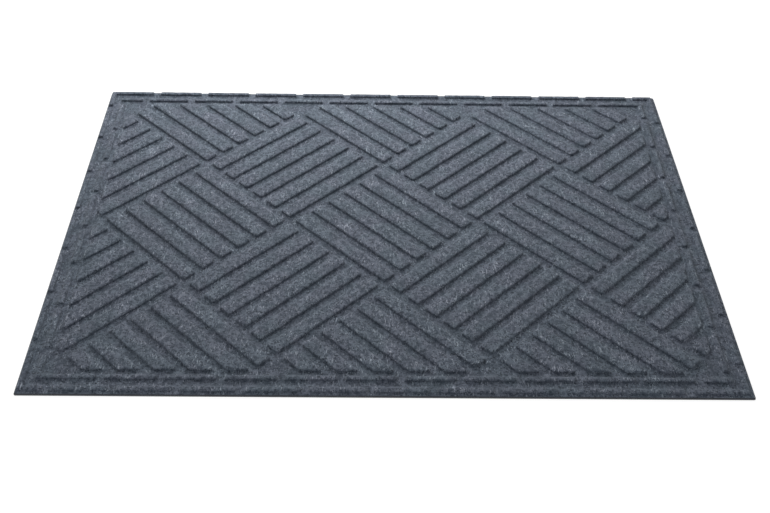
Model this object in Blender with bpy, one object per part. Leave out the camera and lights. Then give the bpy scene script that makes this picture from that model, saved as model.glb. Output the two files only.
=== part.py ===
"""Entrance mat: a rubber sheet with moulded ribs under a needle-punched felt face.

The felt is pressed over the ribs, so that it stands up in bars. The middle is a basket weave laid
on the diagonal: square cells of parallel bars, turned by 90 degrees from one cell to the next, and
cut off along a rectangle. Two rings of dashes run round it. Metres, +Z up, and the origin on the
floor under the middle of the mat.
"""
import math

import bmesh
import bpy
from mathutils import Matrix, Vector

# Driving dimensions of the mat
MAT_LENGTH = 0.800
MAT_DEPTH = 0.590
CORNER_RADIUS = 0.002
RUBBER_SHEET = 0.0018
EDGE_REVEAL = 0.0010  # rubber that shows round the felt
FELT_PRESSED = 0.0010  # the felt between the bars
BOND_GAP = 0.0003  # stands for the bond between the felt and the rubber

# The diagonal basket weave
CELL_SIDE = 0.1695
BARS_PER_CELL = 6
END_GROOVE = 0.0109  # between a bar's end and the next cell's first bar
SIDE_GROOVE = 0.01125  # between two bars of a cell
BAR_RISE = 0.0033
BAR_WALL = 0.0022  # the felt over and round a rib
SHORTEST_BAR = 0.016
WEAVE_MIDDLE = (-0.0015, -0.0010)  # from the middle of the mat

# The frame round the weave: the rectangle that cuts the bars, and two rings of dashes
FRAME_MIDDLE = (-0.0015, 0.0015)  # from the middle of the mat
FIELD_INSET = 0.0337  # from the edge of the mat to the line that cuts the bars
DASH_WIDTH = 0.0070
DASH_RISE = 0.0027
DASH_WALL = 0.0018
DASH_GAP = 0.0090
SHORTEST_DASH = 0.0080
OUTER_RING = {
    "inset": 0.0029,  # from the edge of the mat to the dashes
    "row_period": 0.0695,
    "row_phase": 0.0166,
    "column_period": 0.0787,
    "column_phase": 0.0154,
}
INNER_RING = {
    "inset": 0.0197,
    "row_period": 0.0654,
    "row_phase": -0.0172,
    "column_period": 0.0712,
    "column_phase": -0.0203,
}

# Sizes and heights that follow from them
BAR_PITCH = CELL_SIDE / BARS_PER_CELL
BAR_LENGTH = CELL_SIDE - END_GROOVE
BAR_WIDTH = BAR_PITCH - SIDE_GROOVE
FELT_UNDERSIDE = RUBBER_SHEET + BOND_GAP
VALLEY = FELT_UNDERSIDE + FELT_PRESSED
OVERLAP = 0.0005  # how far a bar reaches into its sheet before the two are joined
REACH = 0.010  # how far a cutter goes past what it cuts
TINY = 1e-6  # lengths this close count as equal


def clear_scene():
    for thing in list(bpy.data.objects):
        bpy.data.objects.remove(thing, do_unlink=True)


def collection(name):
    made = bpy.data.collections.new(name)
    bpy.context.scene.collection.children.link(made)
    return made


def material(name, colour, roughness):
    made = bpy.data.materials.new(name)
    made.use_nodes = True
    shader = made.node_tree.nodes["Principled BSDF"]
    shader.inputs["Base Color"].default_value = (*colour, 1.0)
    shader.inputs["Roughness"].default_value = roughness
    shader.inputs["Metallic"].default_value = 0.0
    return made


def mesh_of_boxes(name, boxes, bottom, top):
    """Boxes given as (middle, turn, length, width), all between two heights, in one mesh."""
    made = bmesh.new()
    for middle, turn, length, width in boxes:
        place = Matrix.Translation((middle[0], middle[1], (bottom + top) / 2))
        place @= Matrix.Rotation(turn, 4, "Z")
        place @= Matrix.Diagonal((length, width, top - bottom, 1.0))
        bmesh.ops.create_cube(made, size=1.0, matrix=place)
    mesh = bpy.data.meshes.new(name)
    made.to_mesh(mesh)
    made.free()
    return mesh


def tool(name, boxes, bottom, top, into):
    """A body that another object's modifiers add or cut; it is not a part."""
    made = bpy.data.objects.new(name, mesh_of_boxes(name, boxes, bottom, top))
    made.display_type = "WIRE"
    made.hide_render = True
    into.objects.link(made)
    return made


def boolean(target, operation, other):
    step = target.modifiers.new(f"{operation.lower()} {other.name}", "BOOLEAN")
    step.operation = operation
    step.solver = "EXACT"
    step.object = other


def sheet(name, inset, bottom, top, finish, into):
    """A flat sheet with its four upright corners rounded."""
    size = (MAT_LENGTH - 2 * inset, MAT_DEPTH - 2 * inset)
    mesh = mesh_of_boxes(name, [((0.0, 0.0), 0.0, *size)], bottom, top)
    shape = bmesh.new()
    shape.from_mesh(mesh)
    upright = [e for e in shape.edges if (e.verts[0].co - e.verts[1].co).xy.length < TINY]
    bmesh.ops.bevel(shape, geom=upright, offset=CORNER_RADIUS, segments=3, affect="EDGES", profile=0.5)
    shape.to_mesh(mesh)
    shape.free()
    mesh.materials.append(finish)
    made = bpy.data.objects.new(name, mesh)
    into.objects.link(made)
    return made


def inside_length(middle, turn, half, limits):
    """Length of a bar's centreline that lies in the field, a rectangle of half sizes `limits`."""
    first, last = -half, half
    for at, step, limit in zip(middle - Vector(FRAME_MIDDLE), (math.cos(turn), math.sin(turn)), limits):
        near, far = sorted(((-limit - at) / step, (limit - at) / step))
        first, last = max(first, near), min(last, far)
    return last - first


def weave_bars(margin):
    """Every bar of the weave, drawn in by `margin` on each side; the field box cuts them later."""
    half_step = CELL_SIDE / math.sqrt(2)
    field = (MAT_LENGTH / 2 - FIELD_INSET, MAT_DEPTH / 2 - FIELD_INSET)
    columns = math.ceil(field[0] / half_step) + 1
    rows = math.ceil(field[1] / half_step) + 1
    bars = []
    for i in range(-columns, columns + 1):
        for j in range(-rows, rows + 1):
            if (i + j) % 2:
                continue
            turn = math.radians(-45 if i % 2 == 0 else 45)
            across = Vector((-math.sin(turn), math.cos(turn)))
            cell = Vector((i * half_step, j * half_step)) + Vector(WEAVE_MIDDLE)
            for k in range(BARS_PER_CELL):
                middle = cell + across * (k - (BARS_PER_CELL - 1) / 2) * BAR_PITCH
                if inside_length(middle, turn, BAR_LENGTH / 2, field) < SHORTEST_BAR:
                    continue
                bars.append((middle, turn, BAR_LENGTH - 2 * margin, BAR_WIDTH - 2 * margin))
    return bars


def weave(name, margin, bottom, top, into):
    """The bars of the weave as one tool, cut along the rectangle of the field."""
    inset = FIELD_INSET + margin
    outline = (FRAME_MIDDLE, 0.0, MAT_LENGTH - 2 * inset, MAT_DEPTH - 2 * inset)
    field = tool(f"{name} field", [outline], bottom - REACH, top + REACH, into)
    bars = tool(name, weave_bars(margin), bottom, top, into)
    boolean(bars, "INTERSECT", field)
    return bars


def gap_middles(phase, period, reach):
    """Middles of a row's gaps: one at `phase`, the others a period apart, none past `reach`."""
    first = math.ceil((-reach - phase) / period)
    last = math.floor((reach - phase) / period)
    return [phase + k * period for k in range(first, last + 1)]


def stretches(gaps, end, margin):
    """What the gaps leave of a row between -end and end, as (from, to)."""
    cuts = [-end]
    for middle in gaps:
        cuts += [middle - DASH_GAP / 2, middle + DASH_GAP / 2]
    cuts.append(end)
    kept = [(a, b) for a, b in zip(cuts[::2], cuts[1::2]) if b - a >= SHORTEST_DASH]
    return [(a + margin, b - margin) for a, b in kept]


def turned_pair(x, y, length, width):
    """A dash, and the one that half a turn about the frame's middle makes of it."""
    middle = Vector(FRAME_MIDDLE)
    return [(middle + side * Vector((x, y)), 0.0, length, width) for side in (1, -1)]


def ring_lines(ring):
    """How far a ring's columns and its rows, along their middles, are from the mat's middle."""
    inset = ring["inset"] + DASH_WIDTH / 2
    return MAT_LENGTH / 2 - inset, MAT_DEPTH / 2 - inset


def row_stretches(ring, margin):
    """The back row's dashes, and whether one reaches its left end and one its right end."""
    end = ring_lines(ring)[0] + DASH_WIDTH / 2
    gaps = gap_middles(ring["row_phase"], ring["row_period"], end - DASH_WIDTH)
    kept = stretches(gaps, end, margin)
    return kept, kept[0][0] < margin - end + TINY, kept[-1][1] > end - margin - TINY


def row_dashes(ring, margin):
    """The back row and, turned half round, the front row; both run through the corners."""
    y = ring_lines(ring)[1]
    boxes = []
    for a, b in row_stretches(ring, margin)[0]:
        boxes += turned_pair((a + b) / 2, y, b - a, DASH_WIDTH - 2 * margin)
    return boxes


def column_dashes(ring, margin):
    """The left column and, turned half round, the right one.

    A leg runs on to its row's middle where a dash of that row fills the corner. The front row is
    the back one turned, so the back row's right end is what fills the front left corner.
    """
    x, y = ring_lines(ring)
    inner_face = y - DASH_WIDTH / 2
    gaps = gap_middles(ring["column_phase"], ring["column_period"], inner_face)
    _, back_filled, front_filled = row_stretches(ring, margin)
    boxes = []
    for a, b in stretches(gaps, inner_face, margin):
        if front_filled and a < margin - inner_face + TINY:
            a = -y
        if back_filled and b > inner_face - margin - TINY:
            b = y
        boxes += turned_pair(-x, (a + b) / 2, DASH_WIDTH - 2 * margin, b - a)
    return boxes


def raise_pattern(target, operation, kind, bar_margin, dash_margin, bottom, bar_top, dash_top, into):
    """Adds the whole pattern to a sheet, or cuts it from one."""
    boolean(target, operation, weave(f"{kind} weave", bar_margin, bottom, bar_top, into))
    rows = [box for ring in (OUTER_RING, INNER_RING) for box in row_dashes(ring, dash_margin)]
    boolean(target, operation, tool(f"{kind} rows", rows, bottom, dash_top, into))
    columns = [box for ring in (OUTER_RING, INNER_RING) for box in column_dashes(ring, dash_margin)]
    boolean(target, operation, tool(f"{kind} columns", columns, bottom, dash_top, into))


def rubber_backing(parts, tools):
    rubber = material("rubber_backing", (0.030, 0.029, 0.029), 0.75)
    backing = sheet("rubber_backing", 0.0, 0.0, RUBBER_SHEET, rubber, parts)
    raise_pattern(backing, "UNION", "rib", BAR_WALL + BOND_GAP, DASH_WALL + BOND_GAP,
                  RUBBER_SHEET - OVERLAP, VALLEY + BAR_RISE - BAR_WALL - BOND_GAP,
                  VALLEY + DASH_RISE - DASH_WALL - BOND_GAP, tools)


def fibre_face(parts, tools):
    felt = material("fibre_face", (0.105, 0.118, 0.140), 0.95)
    face = sheet("fibre_face", EDGE_REVEAL, FELT_UNDERSIDE, VALLEY, felt, parts)
    raise_pattern(face, "UNION", "bar", 0.0, 0.0, VALLEY - OVERLAP, VALLEY + BAR_RISE,
                  VALLEY + DASH_RISE, tools)
    raise_pattern(face, "DIFFERENCE", "cavity", BAR_WALL, DASH_WALL, FELT_UNDERSIDE - REACH,
                  VALLEY + BAR_RISE - BAR_WALL, VALLEY + DASH_RISE - DASH_WALL, tools)


clear_scene()
door_mat = collection("door_mat")
cutters = collection("cutters")
rubber_backing(door_mat, cutters)
fibre_face(door_mat, cutters)
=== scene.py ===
"""Entrance mat: needle-punched felt hot-pressed over a ribbed rubber sheet.

The felt stands up in bars over the ribs. The middle is a basket weave laid on the diagonal: square
cells of parallel bars, turned by 90 degrees from one cell to the next, and cut off along a
rectangle. Two rings of dashes run round it. Sizes are in millimetres, up to where a mesh or a node
takes them in metres; the floor, the lights and the camera are in metres.
"""

import math

import bpy
import numpy as np
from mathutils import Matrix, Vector
from mathutils.geometry import delaunay_2d_cdt


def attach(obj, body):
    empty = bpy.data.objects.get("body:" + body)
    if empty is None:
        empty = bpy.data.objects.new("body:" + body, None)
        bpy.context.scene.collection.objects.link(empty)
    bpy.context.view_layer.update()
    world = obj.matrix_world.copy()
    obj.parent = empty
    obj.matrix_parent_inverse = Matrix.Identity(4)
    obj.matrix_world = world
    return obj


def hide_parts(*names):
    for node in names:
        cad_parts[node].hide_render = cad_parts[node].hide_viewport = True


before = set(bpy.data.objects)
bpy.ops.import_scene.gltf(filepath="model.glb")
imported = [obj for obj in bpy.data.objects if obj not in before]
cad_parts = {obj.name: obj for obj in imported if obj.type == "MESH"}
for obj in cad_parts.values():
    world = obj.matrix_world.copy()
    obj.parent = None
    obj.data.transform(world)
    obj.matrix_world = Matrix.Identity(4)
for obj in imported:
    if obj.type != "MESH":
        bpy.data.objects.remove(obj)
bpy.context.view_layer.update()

MM = 0.001

# Driving dimensions of the mat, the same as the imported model's
MAT_LENGTH = 800.0
MAT_DEPTH = 590.0
CORNER_RADIUS = 2.0
RUBBER_SHEET = 1.8
EDGE_REVEAL = 1.0  # rubber that shows round the felt
FELT_PRESSED = 1.0  # the felt between the bars
BOND_GAP = 0.3  # stands for the bond between the felt and the rubber

# The diagonal basket weave
CELL_SIDE = 169.5
BARS_PER_CELL = 6
END_GROOVE = 10.9  # between a bar's end and the next cell's first bar
SIDE_GROOVE = 11.25  # between two bars of a cell
BAR_RISE = 3.3
BAR_WALL = 2.2  # the felt over and round a rib
SHORTEST_BAR = 16.0
WEAVE_MIDDLE = Vector((-1.5, -1.0))  # from the middle of the mat

# The frame round the weave: the rectangle that cuts the bars, and two rings of dashes
FRAME_MIDDLE = Vector((-1.5, 1.5))  # from the middle of the mat
FIELD_INSET = 33.7  # from the edge of the mat to the line that cuts the bars
DASH_WIDTH = 7.0
DASH_RISE = 2.7
DASH_WALL = 1.8
DASH_GAP = 9.0
SHORTEST_DASH = 8.0
OUTER_RING = {
    "inset": 2.9,  # from the edge of the mat to the dashes
    "row_period": 69.5,
    "row_phase": 16.6,
    "column_period": 78.7,
    "column_phase": 15.4,
}
INNER_RING = {
    "inset": 19.7,
    "row_period": 65.4,
    "row_phase": -17.2,
    "column_period": 71.2,
    "column_phase": -20.3,
}

# Sizes and heights that follow from them
BAR_PITCH = CELL_SIDE / BARS_PER_CELL
BAR_LENGTH = CELL_SIDE - END_GROOVE
BAR_WIDTH = BAR_PITCH - SIDE_GROOVE
FIELD_HALF = (MAT_LENGTH / 2 - FIELD_INSET, MAT_DEPTH / 2 - FIELD_INSET)
FELT_UNDERSIDE = RUBBER_SHEET + BOND_GAP
VALLEY = FELT_UNDERSIDE + FELT_PRESSED

# How the felt turns over at a bar or dash: (how far in from its outline, height over the valley).
# A dash's foot can't go outside its outline, because at the back and the left that is 1.4 mm from
# the edge of the mat, and the felt's rim takes 1.3 mm of it.
BAR_PROFILE = ((-1.25, 0.0), (-0.95, 0.40), (-0.75, 1.25), (-0.45, 2.10), (0.15, 2.75), (1.15, 3.08),
               (2.6, 3.24))
DASH_PROFILE = ((0.0, 0.0), (0.13, 0.40), (0.34, 1.18), (0.68, 1.90), (1.25, 2.40), (2.20, 2.62))
CROWN = 0.08  # how far the middle of a bar stands over its shoulders

# The two sheets' rims: (how far in from the sheet's outline, height)
FELT_RIM = ((0.0, FELT_UNDERSIDE), (0.0, VALLEY - 0.35), (0.12, VALLEY - 0.08), (0.3, VALLEY))
RUBBER_RIM = ((0.30, 0.0), (0.08, 0.08), (0.0, 0.30), (0.0, RUBBER_SHEET - 0.30),
              (0.08, RUBBER_SHEET - 0.08), (0.30, RUBBER_SHEET))

# Corners in plan, where an outline is drawn in by nothing
BAR_ROUNDING = 2.4
DASH_ROUNDING = 2.2
ELBOW_ROUNDING = 0.7  # of the inner corner of an elbow
LEAST_ROUNDING = 0.2
ROUNDED_SHARE = 0.45  # the most of a side that one rounded corner takes up
ARC_POINTS = 4
SHORTEST_SIDE = 3.0  # that is kept where a bar is cut off

# Points of the felt's mesh
POINT_SPACING = 5.5  # along an outline
LOOSE_SPACING = 6.0  # on the bars and in the valleys
LOOSE_SHAKE = 0.35  # as a share of their spacing
LOOSE_MARGIN = 5.0  # kept free along the edge of the mat
CLEAR_OF_SHOULDER, CLEAR_OF_FOOT, CLEAR_OF_RIM = 1.5, 1.6, 1.5
SEED = 7

# The felt's unevenness, and the loose strands on it
SWELL, SWELL_SIZE = 0.5, 28.0  # how far the felt moves, and over what distance
WANDER, WANDER_SIZE = 1.3, 9.0
HELD_FELT = 0.4  # of the felt's thickness, from below, that doesn't move
STRANDS_PER_SQUARE_METRE = 13000.0
STRAND_LENGTH = 4.2
STRAND_THICKNESS = 0.05
STRANDS = (("light_fibres", "#9aa3ab", 3), ("dark_fibres", "#3d454e", 11))  # name, colour and seed

# Floor, lights and camera, in metres
FLOOR_REACH = 6.0
LIGHTS = (  # name, place, side and power; both are turned towards the middle of the mat
    ("key_light", (-0.14, 0.67, 0.54), 0.6, 9.8),
    ("fill_light", (-0.7, -1.75, 0.55), 1.2, 10.4),
)
CAMERA_PLACE = (-0.02128, -1.08526, 0.89575)
CAMERA_TURN = (48.7524, -0.9397, -0.3518)  # in degrees
SENSOR_WIDTH, FOCAL_LENGTH = 36.0, 51.43  # in millimetres

TOUCHING = 0.01  # ends this close count as meeting
NEARLY_PARALLEL = 0.2  # sine of the angle between two sides that are
WHITE = (1.0, 1.0, 1.0, 1.0)


# ---------------------------------------------------------------- outlines in plan

def rectangle(middle, turn, length, width):
    """Its four corners, anticlockwise."""
    along = Vector((math.cos(turn), math.sin(turn))) * length / 2
    across = Vector((-math.sin(turn), math.cos(turn))) * width / 2
    return [middle - along - across, middle + along - across, middle + along + across,
            middle - along + across]


def cut_to_field(outline):
    """The part of a convex outline inside the rectangle that bounds the weave."""
    for axis in (0, 1):
        for side in (-1, 1):
            kept = []
            for a, b in zip(outline, outline[1:] + outline[:1]):
                over_a = side * (a[axis] - FRAME_MIDDLE[axis]) - FIELD_HALF[axis]
                over_b = side * (b[axis] - FRAME_MIDDLE[axis]) - FIELD_HALF[axis]
                if over_a <= 0:
                    kept.append(a)
                if over_a * over_b < 0:
                    kept.append(a.lerp(b, over_a / (over_a - over_b)))
            outline = kept
    return outline


def without_short_sides(outline):
    """A side too short to round is given up, and its neighbours run on until they meet."""
    outline = list(outline)
    i = 0
    while i < len(outline) and len(outline) > 3:
        a, b = outline[i], outline[(i + 1) % len(outline)]
        if (b - a).length >= SHORTEST_SIDE:
            i += 1
            continue
        before, after = a - outline[i - 1], outline[(i + 2) % len(outline)] - b
        turn = before.x * after.y - before.y * after.x
        meet = (a + b) / 2
        if abs(turn) > NEARLY_PARALLEL * before.length * after.length:
            meet = a + before * (((b - a).x * after.y - (b - a).y * after.x) / turn)
        outline[i] = meet
        outline.pop((i + 1) % len(outline))
        i = 0
    return outline


def inside_length(middle, turn):
    """Length of a bar's centreline inside the field."""
    first, last = -BAR_LENGTH / 2, BAR_LENGTH / 2
    for at, step, limit in zip(middle - FRAME_MIDDLE, (math.cos(turn), math.sin(turn)), FIELD_HALF):
        near, far = sorted(((-limit - at) / step, (limit - at) / step))
        first, last = max(first, near), min(last, far)
    return last - first


def weave_outlines():
    """Every bar of the basket weave, cut off where the field ends."""
    half_step = CELL_SIDE / math.sqrt(2)
    columns = math.ceil(MAT_LENGTH / 2 / half_step) + 1
    rows = math.ceil(MAT_DEPTH / 2 / half_step) + 1
    found = []
    for i in range(-columns, columns + 1):
        for j in range(-rows, rows + 1):
            if (i + j) % 2:
                continue
            turn = math.radians(-45 if i % 2 == 0 else 45)
            across = Vector((-math.sin(turn), math.cos(turn)))
            for k in range(BARS_PER_CELL):
                middle = WEAVE_MIDDLE + Vector((i, j)) * half_step
                middle += across * (k - (BARS_PER_CELL - 1) / 2) * BAR_PITCH
                if inside_length(middle, turn) >= SHORTEST_BAR:
                    bar = cut_to_field(rectangle(middle, turn, BAR_LENGTH, BAR_WIDTH))
                    found.append(without_short_sides(bar))
    return found


def gap_middles(phase, period, reach):
    """Middles of a row's gaps: one at `phase`, the others a period apart, none past `reach`."""
    first, last = math.ceil((-reach - phase) / period), math.floor((reach - phase) / period)
    return [phase + k * period for k in range(first, last + 1)]


def stretches(gaps, end):
    """What the gaps leave of a row between -end and end, as (from, to)."""
    cuts = [-end]
    for middle in gaps:
        cuts += [middle - DASH_GAP / 2, middle + DASH_GAP / 2]
    cuts.append(end)
    return [(a, b) for a, b in zip(cuts[::2], cuts[1::2]) if b - a >= SHORTEST_DASH]


def ring_outlines(ring):
    """The dashes of one ring: the back and left ones, and what half a turn makes of them."""
    half = DASH_WIDTH / 2
    inset = ring["inset"] + half
    left, back = MAT_LENGTH / 2 - inset, MAT_DEPTH / 2 - inset  # lines along the dashes' middles
    corner, inner_face = left + half, back - half  # how far the row reaches, and the column
    row = stretches(gap_middles(ring["row_phase"], ring["row_period"], corner - DASH_WIDTH), corner)
    column = stretches(gap_middles(ring["column_phase"], ring["column_period"], inner_face),
                       inner_face)
    made = []
    if column[-1][1] > inner_face - TOUCHING:  # an elbow at the back left corner
        low, right = column.pop()[0], row.pop(0)[1]
        made.append([(-left - half, back + half), (-left - half, low), (-left + half, low),
                     (-left + half, back - half), (right, back - half), (right, back + half)])
    if column[0][0] < -inner_face + TOUCHING:  # and one at the front left corner
        high, right = column.pop(0)[1], -row.pop()[0]
        made.append([(-left - half, high), (-left - half, -back - half), (right, -back - half),
                     (right, -back + half), (-left + half, -back + half), (-left + half, high)])
    made += [[(a, back - half), (b, back - half), (b, back + half), (a, back + half)] for a, b in row]
    made += [[(-left - half, a), (-left + half, a), (-left + half, b), (-left - half, b)]
             for a, b in column]
    return [[FRAME_MIDDLE + side * Vector(p) for p in outline] for outline in made
            for side in (1, -1)]


def mat_outline(inset):
    return rectangle(Vector((0.0, 0.0)), 0.0, MAT_LENGTH - 2 * inset, MAT_DEPTH - 2 * inset)


def drawn_in(outline, by):
    """The outline with every side moved inwards, corners kept sharp."""
    moved = []
    for i, corner in enumerate(outline):
        before = (corner - outline[i - 1]).normalized()
        after = (outline[(i + 1) % len(outline)] - corner).normalized()
        first, second = Vector((-before.y, before.x)), Vector((-after.y, after.x))
        moved.append(corner + (first + second) * by / (1 + first.dot(second)))
    return moved


def rounded(outline, by, rounding):
    """The outline drawn in, its corners rounded about fixed centres, with points along its sides.

    Every value of `by` gives the same number of points, so that loops join up.
    """
    corners = drawn_in(outline, by)
    count = len(corners)
    reaches = []
    for i, corner in enumerate(corners):
        before, after = corner - corners[i - 1], corners[(i + 1) % count] - corner
        turn = math.atan2(before.x * after.y - before.y * after.x, before.dot(after))
        radius = max(rounding - by if turn > 0 else ELBOW_ROUNDING + by, LEAST_ROUNDING)
        reaches.append(min(radius * math.tan(abs(turn) / 2), ROUNDED_SHARE * before.length,
                           ROUNDED_SHARE * after.length))
    points = []
    for i, corner in enumerate(corners):
        following = (i + 1) % count
        before = (corners[i - 1] - corner).normalized()
        after = (corners[following] - corner).normalized()
        start, end = corner + before * reaches[i], corner + after * reaches[i]
        for k in range(ARC_POINTS):
            t = k / (ARC_POINTS - 1)
            points.append(start * (1 - t) ** 2 + corner * 2 * t * (1 - t) + end * t * t)
        last = corners[following] - after * reaches[following]
        steps = max(1, round((outline[following] - outline[i]).length / POINT_SPACING))
        points += [end.lerp(last, k / steps) for k in range(1, steps)]
    return points


def holds(outline, points):
    """Which points are inside an outline."""
    inside = np.zeros(len(points), bool)
    for a, b in zip(outline, outline[1:] + outline[:1]):
        crosses = (a.y > points[:, 1]) != (b.y > points[:, 1])
        rise = b.y - a.y if b.y != a.y else 1.0
        inside ^= crosses & (points[:, 0] < a.x + (points[:, 1] - a.y) * (b.x - a.x) / rise)
    return inside


def scattered_points():
    """Loose points a spacing apart, shaken so that the felt shows no grid."""
    shake = np.random.default_rng(SEED)
    x = np.arange(-MAT_LENGTH / 2 + LOOSE_MARGIN, MAT_LENGTH / 2 - LOOSE_MARGIN, LOOSE_SPACING)
    y = np.arange(-MAT_DEPTH / 2 + LOOSE_MARGIN, MAT_DEPTH / 2 - LOOSE_MARGIN, LOOSE_SPACING)
    grid = np.stack(np.meshgrid(x, y), axis=-1).reshape(-1, 2)
    return grid + shake.uniform(-LOOSE_SHAKE, LOOSE_SHAKE, grid.shape) * LOOSE_SPACING


# ---------------------------------------------------------------- the moulded sheets

class Shell:
    """Points and faces of a closed sheet, gathered loop by loop."""

    def __init__(self):
        self.points, self.faces = [], []

    def loop(self, outline, height):
        first = len(self.points)
        self.points += [(p.x, p.y, height) for p in outline]
        return list(range(first, len(self.points)))

    def join(self, lower, upper, flip=False):
        """Quads between two loops of as many points; `upper` is the inner one."""
        for i in range(len(lower)):
            k = (i + 1) % len(lower)
            quad = (lower[i], lower[k], upper[k], upper[i])
            self.faces.append(quad[::-1] if flip else quad)

    def wall(self, loops):
        """Joins loops in turn, from the outermost one in."""
        for lower, upper in zip(loops, loops[1:]):
            self.join(lower, upper)

    def fill(self, outer, holes, loose=(), lift=0.0, flip=False):
        """Triangles between an outer loop and the holes in it, through some loose points.

        The loops must not cross, or the triangulation makes points that no loop has.
        """
        index = list(outer) + [i for hole in holes for i in hole]
        edges, at = [], 0
        for ring in [outer, *holes]:
            edges += [(at + k, at + (k + 1) % len(ring)) for k in range(len(ring))]
            at += len(ring)
        first = len(self.points)
        height = self.points[outer[0]][2]
        self.points += [(x, y, height + lift) for x, y in loose]
        index += range(first, len(self.points))
        flat = [Vector(self.points[i][:2]) for i in index]
        _, _, triangles, origins, _, _ = delaunay_2d_cdt(flat, edges, [], 0, 1e-6, True)
        back = [index[o[0]] for o in origins]
        found = np.array([[back[i] for i in t] for t in triangles])
        places = np.array([p[:2] for p in self.points])
        middles = places[found].mean(axis=1)
        keep = holds([Vector(self.points[i][:2]) for i in outer], middles)
        for hole in holes:
            own = np.isin(found, hole).all(axis=1)
            if own.any():
                inside = holds([Vector(self.points[i][:2]) for i in hole], middles[own])
                keep[np.flatnonzero(own)[inside]] = False
        for t in found[keep]:
            self.faces.append(tuple(int(i) for i in (t[::-1] if flip else t)))

    def as_object(self, name, sharp_from=None):
        """A smooth object; edges that turn by more than `sharp_from` degrees stay sharp."""
        mesh = bpy.data.meshes.new(name)
        mesh.from_pydata([tuple(c * MM for c in p) for p in self.points], [], self.faces)
        mesh.update()
        mesh.shade_smooth()
        if sharp_from is not None:
            mesh.set_sharp_from_angle(angle=math.radians(sharp_from))
        return placed(name, mesh)


def placed(name, data):
    """A new object in the scene."""
    made = bpy.data.objects.new(name, data)
    bpy.context.scene.collection.objects.link(made)
    return made


def felt_face(bars, dashes):
    """The pressed felt, bars and dashes and all, with the hollows that the ribs fill below."""
    shell = Shell()
    loose = scattered_points()
    in_valley = np.ones(len(loose), bool)
    feet = []
    for outlines, profile, rounding in ((bars, BAR_PROFILE, BAR_ROUNDING),
                                        (dashes, DASH_PROFILE, DASH_ROUNDING)):
        foot, shoulder = profile[0][0], profile[-1][0]
        for outline in outlines:
            loops = [shell.loop(rounded(outline, inset, rounding), VALLEY + height)
                     for inset, height in profile]
            shell.wall(loops)
            top = ()
            if outlines is bars:
                top = loose[holds(drawn_in(outline, shoulder + CLEAR_OF_SHOULDER), loose)]
            shell.fill(loops[-1], [], top, CROWN)
            in_valley &= ~holds(drawn_in(outline, foot - CLEAR_OF_FOOT), loose)
            feet.append(loops[0])
    edge = mat_outline(EDGE_REVEAL)
    in_valley &= holds(drawn_in(edge, CLEAR_OF_RIM), loose)
    rim = [shell.loop(rounded(edge, inset, CORNER_RADIUS), height) for inset, height in FELT_RIM]
    shell.wall(rim)
    shell.fill(rim[-1], feet, loose[in_valley])
    mouths = []
    for outlines, wall, rise in ((bars, BAR_WALL, BAR_RISE), (dashes, DASH_WALL, DASH_RISE)):
        for outline in outlines:
            hollow = drawn_in(outline, wall)
            mouth, roof = shell.loop(hollow, FELT_UNDERSIDE), shell.loop(hollow, VALLEY + rise - wall)
            shell.join(mouth, roof, flip=True)
            shell.fill(roof, [], flip=True)
            mouths.append(mouth)
    shell.fill(rim[0], mouths, flip=True)
    return shell.as_object("felt_face")


def rubber_sheet(bars, dashes):
    """The rubber: a sheet with a softly rounded rim, and the ribs that hold the felt up."""
    shell = Shell()
    feet = []
    for outlines, wall, rise in ((bars, BAR_WALL, BAR_RISE), (dashes, DASH_WALL, DASH_RISE)):
        for outline in outlines:
            rib = drawn_in(outline, wall + BOND_GAP)
            foot = shell.loop(rib, RUBBER_SHEET)
            top = shell.loop(rib, VALLEY + rise - wall - BOND_GAP)
            shell.join(foot, top)
            shell.fill(top, [])
            feet.append(foot)
    edge = mat_outline(0.0)
    rim = [shell.loop(rounded(edge, inset, CORNER_RADIUS), height) for inset, height in RUBBER_RIM]
    shell.wall(rim)
    shell.fill(rim[-1], feet)
    shell.fill(rim[0], [], flip=True)
    return shell.as_object("rubber_sheet", sharp_from=50)


# ---------------------------------------------------------------- nodes

def add(tree, kind, inputs=(), **settings):
    """One node with its settings; an input takes a value or another node's output."""
    made = tree.nodes.new(kind)
    for name, value in settings.items():
        setattr(made, name, value)
    for socket, value in dict(inputs).items():
        if isinstance(value, bpy.types.NodeSocket):
            tree.links.new(value, made.inputs[socket])
        else:
            made.inputs[socket].default_value = value
    return made


def arithmetic(tree, how, *values):
    return add(tree, "ShaderNodeMath", enumerate(values), operation=how).outputs[0]


def vectors(tree, how, inputs):
    return add(tree, "ShaderNodeVectorMath", inputs, operation=how).outputs[0]


def height_of(tree, vector):
    return add(tree, "ShaderNodeSeparateXYZ", {0: vector}).outputs[2]


def per_metre(size):
    """Noise scale that gives features about this many millimetres across."""
    return 1.0 / (size * MM)


def linear(colour):
    """A hex sRGB colour as linear red, green, blue and alpha."""
    parts = [int(colour[i:i + 2], 16) / 255 for i in (1, 3, 5)]
    return (*(c / 12.92 if c <= 0.04045 else ((c + 0.055) / 1.055) ** 2.4 for c in parts), 1.0)


# ---------------------------------------------------------------- materials

def new_material(name):
    made = bpy.data.materials.new(name)
    made.use_nodes = True
    made.node_tree.nodes.clear()
    return made, made.node_tree


def principled(tree, inputs):
    """The material's only shader, on its output."""
    shader = add(tree, "ShaderNodeBsdfPrincipled", inputs)
    add(tree, "ShaderNodeOutputMaterial", {"Surface": shader.outputs[0]})


def object_place(tree):
    return add(tree, "ShaderNodeTexCoord").outputs["Object"]


def noise(tree, place, size, detail=2.0, roughness=0.6):
    """Noise with features about `size` millimetres across."""
    return add(tree, "ShaderNodeTexNoise", {"Vector": place, "Scale": per_metre(size),
               "Detail": detail, "Roughness": roughness}).outputs[0]


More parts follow.
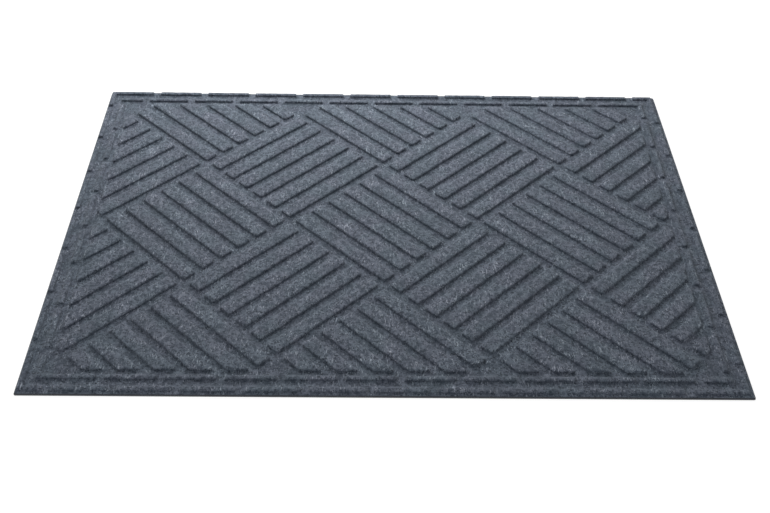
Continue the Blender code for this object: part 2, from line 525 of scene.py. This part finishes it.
def ramp(tree, value, low, high, to_low=0.0, to_high=1.0):
    return add(tree, "ShaderNodeMapRange", {"Value": value, "From Min": low, "From Max": high,
               "To Min": to_low, "To Max": to_high}, interpolation_type="SMOOTHSTEP").outputs[0]


def blended(tree, share, first, second, how="MIX"):
    return add(tree, "ShaderNodeMix", {0: share, 6: first, 7: second}, data_type="RGBA",
               blend_type=how).outputs[2]


def strand_noise(tree, place):
    """Streaks that lie every way: three stretched noises, turned against one another.

    A strand is a twentieth of a millimetre thick. These streaks are coarser, so that they show.
    """
    streaks = []
    for turn, across, along in ((0.95, 1.7, 7.0), (1.55, 1.9, 8.5), (2.15, 1.6, 6.5)):
        turned = add(tree, "ShaderNodeMapping", {"Vector": place, "Rotation": (0.3, 0.2, turn),
                     "Scale": (per_metre(across), per_metre(along), per_metre(across))})
        streaks.append(add(tree, "ShaderNodeTexNoise", {"Vector": turned.outputs[0], "Scale": 1.0,
                           "Detail": 1.0, "Roughness": 0.5, "Distortion": 1.2}).outputs[0])
    first_two = arithmetic(tree, "MAXIMUM", streaks[0], streaks[1])
    return arithmetic(tree, "MAXIMUM", first_two, streaks[2])


def needle_punched_felt():
    """Needle-punched polypropylene: dull, its dark, mid and light fibres mixed to a heathered slate."""
    made, tree = new_material("needle_punched_polypropylene")
    place = object_place(tree)
    strands = strand_noise(tree, place)
    clumps = noise(tree, place, 5.0, detail=3.0)
    specks = noise(tree, place, 2.4)
    tufts = noise(tree, place, 12.0, detail=3.0)
    lay = noise(tree, place, 32.0, roughness=0.5)
    colour = blended(tree, ramp(tree, clumps, 0.36, 0.64), linear("#363d48"), linear("#585f6a"))
    # Light strands show most where the felt is loose and tufted, dark specks everywhere
    tufted = ramp(tree, tufts, 0.40, 0.62, to_low=0.35)
    light = arithmetic(tree, "MULTIPLY", ramp(tree, strands, 0.62, 0.74), tufted)
    colour = blended(tree, light, colour, linear("#8f96a0"))
    colour = blended(tree, ramp(tree, specks, 0.46, 0.35), colour, linear("#1e242d"))
    # The felt was laid unevenly, and is darker in broad patches
    colour = blended(tree, ramp(tree, lay, 0.3, 0.7, to_high=0.34), colour, linear("#333d45"))
    # The blend of dyes wanders from a purple to a green cast
    cast = ramp(tree, noise(tree, place, 38.0), 0.40, 0.60)
    cast = blended(tree, cast, linear("#fffbfe"), linear("#fbffff"))
    colour = blended(tree, 1.0, colour, cast, "MULTIPLY")
    # The felt is coloured a little darker low down, from 2.2 mm over the valley floor downwards,
    # between the bars
    pressed = ramp(tree, height_of(tree, place), (VALLEY + 2.2) * MM, (VALLEY + 0.2) * MM)
    colour = blended(tree, pressed, colour, linear("#eceef0"), "MULTIPLY")
    # The steep sides are painted darker. This is partly painted shade, standing in for the shade in the
    # creases along the bars and dashes. It is partly their own fibres, which lie close and dark where
    # the mould pressed them.
    facing_up = height_of(tree, add(tree, "ShaderNodeNewGeometry").outputs["Normal"])
    colour = blended(tree, ramp(tree, facing_up, 0.80, 0.20, to_high=0.42), colour, linear("#1c232e"))
    relief = arithmetic(tree, "ADD", strands, specks)
    relief = arithmetic(tree, "MULTIPLY_ADD", clumps, 1.6, relief)
    bump = add(tree, "ShaderNodeBump", {"Height": relief, "Strength": 0.62, "Distance": 0.6 * MM})
    principled(tree, {
        "Base Color": colour, "Roughness": ramp(tree, clumps, 0.3, 0.7, 0.98, 0.9),
        "Normal": bump.outputs[0], "IOR": 1.49, "Specular IOR Level": 0.25, "Sheen Weight": 0.25,
        "Sheen Roughness": 0.6, "Sheen Tint": linear("#b9c2cc")})
    return made


def moulded_rubber():
    """Moulded SBR rubber: charcoal with a brown cast, matt, a fine stipple and a trace of dust."""
    made, tree = new_material("moulded_sbr_rubber")
    place = object_place(tree)
    stipple = noise(tree, place, 0.7)
    dust = noise(tree, place, 14.0, detail=4.0)
    colour = blended(tree, ramp(tree, dust, 0.35, 0.7), linear("#313439"), linear("#404349"))
    colour = blended(tree, ramp(tree, stipple, 0.55, 0.7, to_high=0.5), colour, linear("#4b4c4f"))
    bump = add(tree, "ShaderNodeBump", {"Height": stipple, "Strength": 0.4, "Distance": 0.12 * MM})
    principled(tree, {
        "Base Color": colour, "Roughness": ramp(tree, dust, 0.3, 0.7, 0.62, 0.85),
        "Normal": bump.outputs[0], "IOR": 1.52})
    return made


def strand_material(name, colour):
    """Loose polypropylene strands: one dyed colour, greyer in places, and the faint gloss of an
    extruded fibre."""
    made, tree = new_material(name)
    dye = ramp(tree, noise(tree, object_place(tree), 5.0, roughness=0.5), 0.35, 0.65)
    principled(tree, {
        "Base Color": blended(tree, dye, linear(colour), linear("#6d757e")), "Roughness": 0.6,
        "IOR": 1.49, "Sheen Weight": 0.2})
    return made


# ---------------------------------------------------------------- geometry nodes

def geometry_tree(name, inputs):
    """A tree with named inputs, and its group input and output nodes."""
    tree = bpy.data.node_groups.new(name, "GeometryNodeTree")
    tree.interface.new_socket("Geometry", in_out="INPUT", socket_type="NodeSocketGeometry")
    for label, kind in inputs:
        tree.interface.new_socket(label, in_out="INPUT", socket_type=f"NodeSocket{kind}")
    tree.interface.new_socket("Geometry", in_out="OUTPUT", socket_type="NodeSocketGeometry")
    return tree, tree.nodes.new("NodeGroupInput").outputs, tree.nodes.new("NodeGroupOutput")


def grown(source, tree, name, values):
    """What a tree makes of an object, as a plain mesh object of its own."""
    step = source.modifiers.new(tree.name, "NODES")
    step.node_group = tree
    for item in tree.interface.items_tree:
        if item.in_out == "INPUT" and item.name in values:
            step[item.identifier] = values[item.name]
    bpy.context.view_layer.update()
    shown = source.evaluated_get(bpy.context.evaluated_depsgraph_get())
    mesh = bpy.data.meshes.new_from_object(shown)
    mesh.name = name
    source.modifiers.remove(step)
    return placed(name, mesh)


def dressed(tree, geometry, material, made):
    """Ends a tree: its instances made real, in their material."""
    whole = add(tree, "GeometryNodeRealizeInstances", {0: geometry})
    result = add(tree, "GeometryNodeSetMaterial", {"Geometry": whole.outputs[0], "Material": material})
    tree.links.new(result.outputs[0], made.inputs[0])


def uneven_felt_tree():
    """Felt is never quite level or straight: a low swell, and edges that wander a little.

    Nothing moves below "Held Below", and from "Free Above" up everything does.
    """
    tree, given, made = geometry_tree("uneven_felt", (
        ("Swell", "Float"), ("Swell Size", "Float"), ("Wander", "Float"), ("Wander Size", "Float"),
        ("Held Below", "Float"), ("Free Above", "Float"), ("Felt", "Material")))
    place = add(tree, "GeometryNodeInputPosition").outputs[0]
    free = add(tree, "ShaderNodeMapRange", {"Value": height_of(tree, place),
               "From Min": given["Held Below"], "From Max": given["Free Above"]}).outputs[0]
    moves = []
    for kind, shares in (("Swell", (0.4, 0.4, 1.0)), ("Wander", (1.0, 1.0, 0.45))):
        push = add(tree, "ShaderNodeTexNoise", {
            "Vector": place, "Scale": given[f"{kind} Size"], "Detail": 2.0}).outputs["Color"]
        push = vectors(tree, "SUBTRACT", {0: push, 1: (0.5, 0.5, 0.5)})
        push = vectors(tree, "MULTIPLY", {0: push, 1: shares})
        moves.append(vectors(tree, "SCALE", {0: push, "Scale": given[kind]}))
    move = vectors(tree, "ADD", dict(enumerate(moves)))
    move = vectors(tree, "SCALE", {0: move, "Scale": free})
    moved = add(tree, "GeometryNodeSetPosition", {"Geometry": given["Geometry"], "Offset": move})
    dressed(tree, moved.outputs[0], given["Felt"], made)
    return tree


def loose_fibre_tree():
    """Short curled strands, rooted in the felt's upper side and lying any way."""
    tree, given, made = geometry_tree("loose_fibres", (
        ("Density", "Float"), ("Seed", "Int"), ("Length", "Float"), ("Thickness", "Float"),
        ("Strand", "Material")))
    facing_up = height_of(tree, add(tree, "GeometryNodeInputNormal").outputs[0])
    upward = add(tree, "FunctionNodeCompare", {0: facing_up, 1: 0.1}, data_type="FLOAT",
                 operation="GREATER_THAN").outputs[0]
    upper = add(tree, "GeometryNodeSeparateGeometry", {0: given["Geometry"], 1: upward},
                domain="FACE").outputs[0]
    roots = add(tree, "GeometryNodeDistributePointsOnFaces", {
        "Mesh": upper, "Density": given["Density"], "Seed": given["Seed"]})
    # One strand of length 1, which each root scales to its own length
    arch = add(tree, "GeometryNodeCurvePrimitiveBezierSegment", {
        "Resolution": 3, "Start": (0.0, 0.0, -0.04), "Start Handle": (0.25, 0.12, 0.22),
        "End Handle": (0.7, -0.12, 0.26), "End": (1.0, 0.05, 0.03)})
    thin = arithmetic(tree, "DIVIDE", given["Thickness"], given["Length"])
    around = add(tree, "GeometryNodeCurvePrimitiveCircle", {"Resolution": 3, "Radius": 1.0})
    ring = add(tree, "GeometryNodeTransform", {"Geometry": around.outputs[0], "Scale": add(
        tree, "ShaderNodeCombineXYZ", {0: thin, 1: thin, 2: thin}).outputs[0]})
    strand = add(tree, "GeometryNodeCurveToMesh", {
        "Curve": arch.outputs[0], "Profile Curve": ring.outputs[0], "Fill Caps": True})
    # It tilts a little, and turns any way
    spin = add(tree, "FunctionNodeRandomValue", {
        "Min": (-0.35, -0.25, 0.0), "Max": (0.35, 0.25, 6.2832), "Seed": given["Seed"]},
        data_type="FLOAT_VECTOR").outputs[0]
    size = add(tree, "FunctionNodeRandomValue", {2: 0.45, 3: 1.0, "Seed": given["Seed"]},
               data_type="FLOAT").outputs[1]
    laid = add(tree, "GeometryNodeInstanceOnPoints", {
        "Points": roots.outputs[0], "Instance": strand.outputs[0], "Rotation": spin,
        "Scale": arithmetic(tree, "MULTIPLY", size, given["Length"])})
    dressed(tree, laid.outputs[0], given["Strand"], made)
    return tree


# ---------------------------------------------------------------- the mat

def make_mat():
    bars = weave_outlines()
    dashes = ring_outlines(OUTER_RING) + ring_outlines(INNER_RING)
    pressed = felt_face(bars, dashes)
    face = grown(pressed, uneven_felt_tree(), "felt", {
        "Swell": SWELL * MM, "Swell Size": per_metre(SWELL_SIZE),
        "Wander": WANDER * MM, "Wander Size": per_metre(WANDER_SIZE),
        "Held Below": (FELT_UNDERSIDE + HELD_FELT) * MM, "Free Above": VALLEY * MM,
        "Felt": needle_punched_felt()})
    bpy.data.objects.remove(pressed, do_unlink=True)
    tree = loose_fibre_tree()
    fibres = [grown(face, tree, name, {
        "Density": STRANDS_PER_SQUARE_METRE, "Seed": seed, "Length": STRAND_LENGTH * MM,
        "Thickness": STRAND_THICKNESS * MM, "Strand": strand_material(name, colour)})
        for name, colour, seed in STRANDS]
    backing = rubber_sheet(bars, dashes)
    backing.data.materials.append(moulded_rubber())
    for piece in (face, *fibres, backing):
        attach(piece, "root")
    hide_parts("fibre_face")
    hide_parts("rubber_backing")


# ---------------------------------------------------------------- floor, lights and camera

def lay_floor():
    """White paper that gives light of its own, so that it stays white under soft lights."""
    mesh = bpy.data.meshes.new("floor")
    mesh.from_pydata([(x * FLOOR_REACH, y * FLOOR_REACH, 0)
                      for x, y in ((-1, -1), (1, -1), (1, 1), (-1, 1))], [], [(0, 1, 2, 3)])
    paper, tree = new_material("white_paper")
    principled(tree, {
        "Base Color": (0.25, 0.25, 0.25, 1.0), "Roughness": 1.0, "Specular IOR Level": 0.0,
        "Emission Color": WHITE, "Emission Strength": 0.85})
    mesh.materials.append(paper)
    floor = placed("floor", mesh)


def set_lights():
    """A soft key light over the far side of the mat, a fill light further off in front of it, and an
    even white sky."""
    sky = bpy.data.worlds.new("sky")
    sky.use_nodes = True
    background = sky.node_tree.nodes["Background"]
    background.inputs["Color"].default_value = WHITE
    background.inputs["Strength"].default_value = 0.5
    bpy.context.scene.world = sky
    for name, place, side, power in LIGHTS:
        lamp = bpy.data.lights.new(name, "AREA")
        lamp.size, lamp.energy = side, power
        light = placed(name, lamp)
        light.location = place
        light.rotation_euler = (-light.location).to_track_quat("-Z", "Y").to_euler()
        light.visible_camera = False


def set_camera():
    lens = bpy.data.cameras.new("camera")
    lens.sensor_width, lens.lens = SENSOR_WIDTH, FOCAL_LENGTH
    eye = placed("camera", lens)
    eye.location = CAMERA_PLACE
    eye.rotation_euler = [math.radians(a) for a in CAMERA_TURN]
    bpy.context.scene.camera = eye


make_mat()
lay_floor()
set_lights()
set_camera()
bpy.context.scene.view_settings.view_transform = "Standard"
